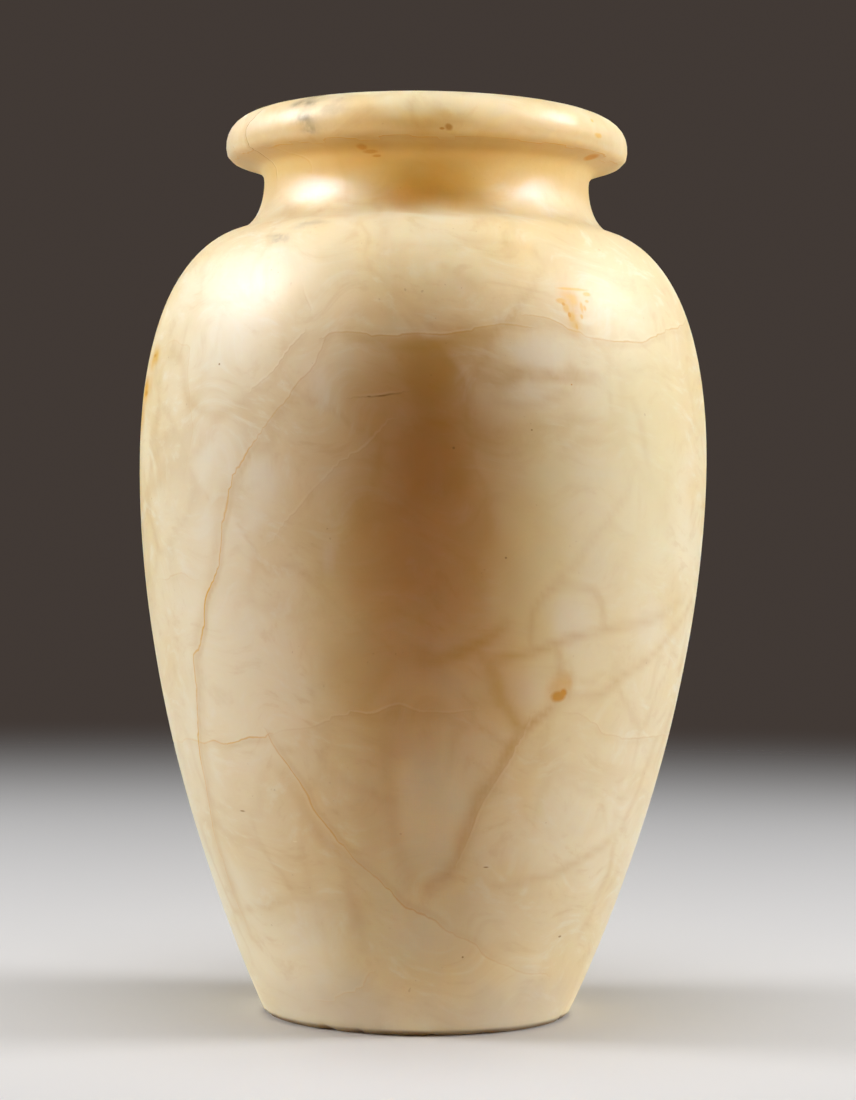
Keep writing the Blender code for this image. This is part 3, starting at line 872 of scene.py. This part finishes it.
studio = {
    "nearRadius": 0.065, "tableRadius": 1.5, "tableHeight": -0.25 * mm,
    "fadeFrom": 0.55, "fadeTo": 1.50,                      # where the far edge of the table dissolves
    "tableColor": (0.735, 0.725, 0.725, 1), "tableRoughness": 0.55, "tableGloss": 0.1,
    "backdrop": (0.054, 0.042, 0.036, 1),
    # degrees round from the camera and up, distance, side, watts, colour, lights surfaces, shows in gloss
    "lamps": {
        "leftSide": (-91, 13, 1.2, 0.42, 13.3, (1, 1, 1), True, False),
        "rightSide": (91, 13, 1.2, 0.42, 14.8, (1, 1, 1), True, False),
        "overhead": (0, 82, 1.0, 0.60, 6.4, (1, 1, 1), True, False),
        "leftSheen": (-80, 38, 0.85, 0.30, 5.2, (0.86, 0.94, 1), False, True),
        "rightSheen": (81, 35, 0.85, 0.36, 4.2, (0.86, 0.94, 1), False, True),
        "frontGlow": (0, -2, 0.85, 0.16, 0.036, (1, 0.36, 0.0), True, False),
        "lowGlow": (0, 2, 0.85, 0.12, 0.0130, (1, 0.93, 0.72), True, False),
        "leftNeckSheen": (-91, 34, 0.85, 0.12, 0.080, (0.90, 0.95, 1), False, True),
        "rightNeckSheen": (91, 34, 0.85, 0.12, 0.060, (0.90, 0.95, 1), False, True),
        "backGlow": (180, 2, 0.85, 0.20, 0.045, (1, 0.80, 0.50), True, False),
        "rimGlow": (0, -3, 0.60, 0.10, 0.0120, (1, 0.74, 0.30), True, False),
    },
    # where a narrow lamp points: its height and its beam in degrees
    "aimed": {"frontGlow": (90 * mm, 30), "lowGlow": (38 * mm, 13), "backGlow": (110 * mm, 28),
              "rimGlow": (252 * mm, 8), "leftNeckSheen": (225 * mm, 5), "rightNeckSheen": (220 * mm, 5)},
}


def makeRing(name, inner, outer, corners=96):
    # A flat disc, or a ring where it has an inner radius
    def circle(radius):
        return [(radius * math.cos(math.tau * i / corners), radius * math.sin(math.tau * i / corners),
                 studio["tableHeight"]) for i in range(corners)]
    mesh = bpy.data.meshes.new(name)
    if inner:
        faces = [(i, corners + i, corners + (i + 1) % corners, (i + 1) % corners) for i in range(corners)]
        mesh.from_pydata(circle(inner) + circle(outer), [], faces)
    else:
        mesh.from_pydata(circle(outer), [], [tuple(range(corners))])
    ring = bpy.data.objects.new(name, mesh)
    scene.collection.objects.link(ring)
    return ring


def makePaper():
    paper = bpy.data.materials.new("paleTable")
    paper.use_nodes = True
    w = Wiring(paper.node_tree)
    sockets = w.nodes["Principled BSDF"].inputs
    sockets["Base Color"].default_value = studio["tableColor"]
    sockets["Roughness"].default_value = studio["tableRoughness"]
    sockets["Specular IOR Level"].default_value = studio["tableGloss"]
    place = w.add("ShaderNodeTexCoord").outputs["Object"]
    reach = w.add("ShaderNodeVectorMath", {0: place}, operation="LENGTH").outputs["Value"]
    w.feed(sockets["Alpha"], w.span(reach, studio["fadeFrom"], studio["fadeTo"], 1.0, 0.0))
    return paper


def hangLamps():
    for name, (around, up, distance, side, watts, color, lights, shows) in studio["lamps"].items():
        data = bpy.data.lights.new(name, "AREA")
        data.shape = "SQUARE"
        data.size, data.energy, data.color = side, watts, color
        lamp = bpy.data.objects.new(name, data)
        scene.collection.objects.link(lamp)
        a, e = math.radians(around), math.radians(up)
        back = Vector((math.sin(a) * math.cos(e), -math.cos(a) * math.cos(e), math.sin(e)))
        aim, beam = studio["aimed"].get(name, (form["height"] / 2, 180))
        data.spread = math.radians(beam)
        lamp.location = Vector((0, 0, aim)) + back * distance
        lamp.rotation_euler = back.to_track_quat("Z", "Y").to_euler()
        lamp.visible_camera = False
        lamp.visible_diffuse = lights
        lamp.visible_glossy = shows


def makeStudio():
    # Only the camera sees the backdrop, so that it throws no light on the vase
    world = bpy.data.worlds.new("surroundings")
    world.use_nodes = True
    w = Wiring(world.node_tree)
    background = w.nodes["Background"].inputs
    background["Color"].default_value = studio["backdrop"]
    w.feed(background["Strength"], w.add("ShaderNodeLightPath").outputs["Is Camera Ray"])
    scene.world = world

    # The middle of the table throws light back on the vase, and the wide rest of it is only seen
    paper = makePaper()
    middle = makeRing("tableMiddle", 0, studio["nearRadius"])
    rest = makeRing("table", studio["nearRadius"], studio["tableRadius"])
    rest.visible_diffuse = False
    for part in (middle, rest):
        part.data.materials.append(paper)
    hangLamps()
    print("studio ready")


makeCamera()
stone = bpy.data.materials.new("veinedAlabaster")
stone.use_nodes = True
vase = turnVase(stone)
finishStone(stone, paintVase(vase))
makeStudio()

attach(vase, "root")
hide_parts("vase")
bpy.context.view_layer.update()
